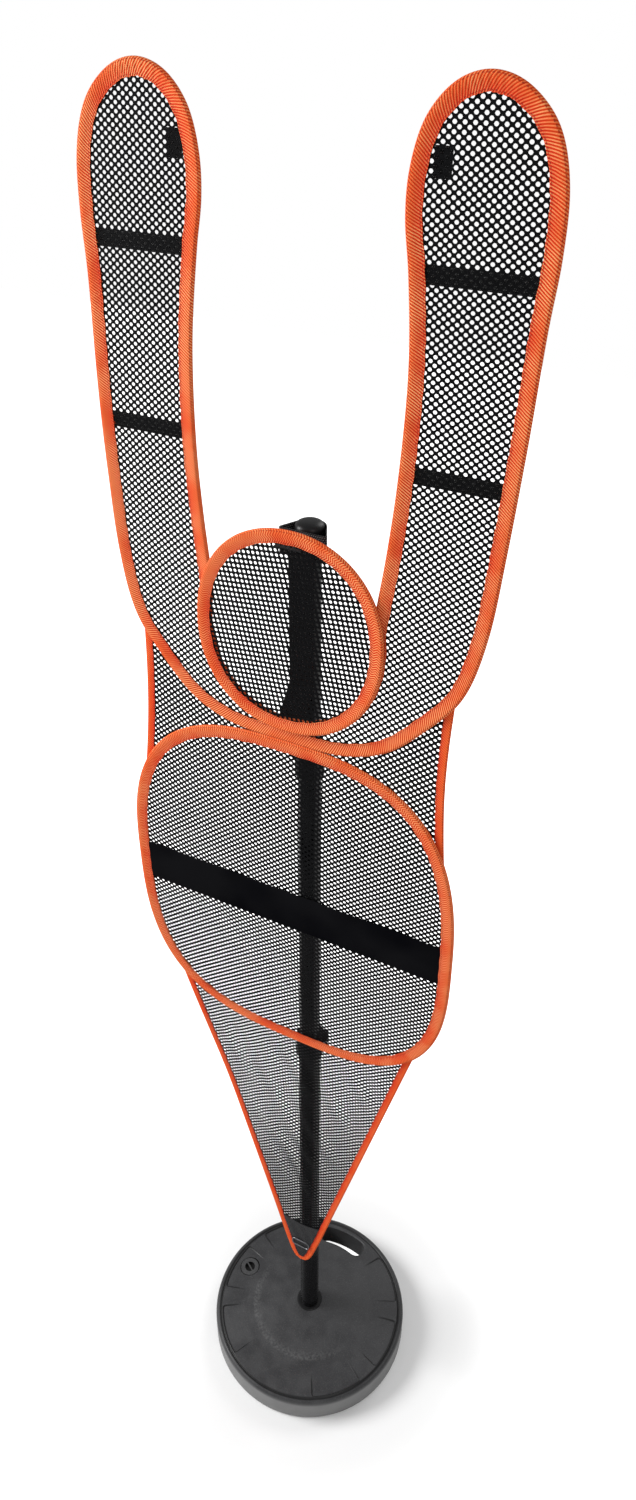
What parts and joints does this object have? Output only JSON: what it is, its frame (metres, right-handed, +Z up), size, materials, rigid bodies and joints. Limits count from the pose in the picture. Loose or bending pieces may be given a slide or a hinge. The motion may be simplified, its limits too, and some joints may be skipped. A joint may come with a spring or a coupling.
{
  "type": "basketball defensive mannequin",
  "caption": "Free-standing mesh defender with raised arms: hoop-framed pop-up figure on a telescopic pole with cam clamps, in a weighted round base.",
  "frame": {"origin": "centre of the base's flat underside, on the pole's axis", "axes": "+Z up along the pole; the figure faces -Y and spans X, +X is its side at the right as seen from the front"},
  "size_m": [0.582, 0.406, 2.4111],
  "materials": {
    "charcoal_plastic": "matte, fine grain",
    "sand": "loose sand",
    "black_plastic": "satin",
    "black_rubber": "matte",
    "black_paint": "gloss powder coat",
    "bright_steel": "zinc plated",
    "spring_steel": "bare",
    "orange_twill": "twill tape",
    "black_mesh": "knitted mesh",
    "black_webbing": "woven webbing"
  },
  "bodies": {
    "base": {"base_shell": "charcoal_plastic", "sand_ballast": "sand", "pole_collar": "black_plastic", "lower_tube": "black_paint", "lower_clamp_body": "black_plastic", "lower_clamp_bolt": "bright_steel", "lower_clamp_nut": "bright_steel", "lower_clamp_pin": "bright_steel"},
    "filler_lift": {"filler_seal": "black_rubber"},
    "filler_cap": {"filler_plug": "black_plastic"},
    "lower_lever": {"lower_clamp_lever": "black_plastic"},
    "middle_stage": {"middle_tube": "black_paint", "middle_tube_bush": "black_plastic", "chest_clamp_body": "black_plastic", "chest_clamp_bolt": "bright_steel", "chest_clamp_nut": "bright_steel", "chest_clamp_pin": "bright_steel"},
    "chest_lever": {"chest_clamp_lever": "black_plastic"},
    "upper_stage": {"upper_tube": "black_paint", "upper_tube_bush": "black_plastic", "pole_cap": "black_plastic"},
    "figure": {"head_hoop": "spring_steel", "arms_hoop": "spring_steel", "belly_hoop": "spring_steel", "head_binding": "orange_twill", "arms_binding": "orange_twill", "belly_binding": "orange_twill", "waist_binding_left": "orange_twill", "waist_binding_right": "orange_twill", "tail_binding": "orange_twill", "head_net": "black_mesh", "arms_net": "black_mesh", "body_net": "black_mesh", "belly_belt": "black_webbing", "spine_strap": "black_webbing", "head_sleeve": "black_webbing", "arm_strap_lower_left": "black_webbing", "arm_strap_lower_right": "black_webbing", "arm_strap_upper_left": "black_webbing", "arm_strap_upper_right": "black_webbing", "tip_patch_left": "black_webbing", "tip_patch_right": "black_webbing", "tail_patch": "black_webbing", "tail_strap": "black_webbing", "tail_ring": "bright_steel"}
  },
  "joints": [
    {"name": "middle_slide", "type": "slide", "parent": "base", "child": "middle_stage", "axis": [0, 0, 1], "range_m": [-0.1, 0]},
    {"name": "upper_slide", "type": "slide", "parent": "middle_stage", "child": "upper_stage", "axis": [0, 0, 1], "range_m": [-0.1, 0]},
    {"name": "figure_turn", "type": "hinge", "parent": "upper_stage", "child": "figure", "pos_m": [0, 0, 1.8], "axis": [0, 0, 1], "range_deg": [-40, 40]},
    {"name": "lower_lever_swing", "type": "hinge", "parent": "base", "child": "lower_lever", "pos_m": [0.02102, 0.01989, 0.92845], "axis": [0, 0, -1], "range_deg": [0, 110]},
    {"name": "chest_lever_swing", "type": "hinge", "parent": "middle_stage", "child": "chest_lever", "pos_m": [-0.02708, 0.00465, 1.54445], "axis": [0, 0, 1], "range_deg": [0, 110]},
    {"name": "filler_rise", "type": "slide", "parent": "base", "child": "filler_lift", "axis": [0, 0, 1], "range_m": [0, 0.0081]},
    {"name": "filler_turn", "type": "hinge", "parent": "filler_lift", "child": "filler_cap", "pos_m": [-0.15597, 0.01009, 0.06035], "axis": [0, 0, 1], "range_deg": [0, 720]}
  ],
  "couplings": [
    {"joint": "filler_rise", "follows": "filler_turn", "m_per_rad": 0.00063662}
  ]
}
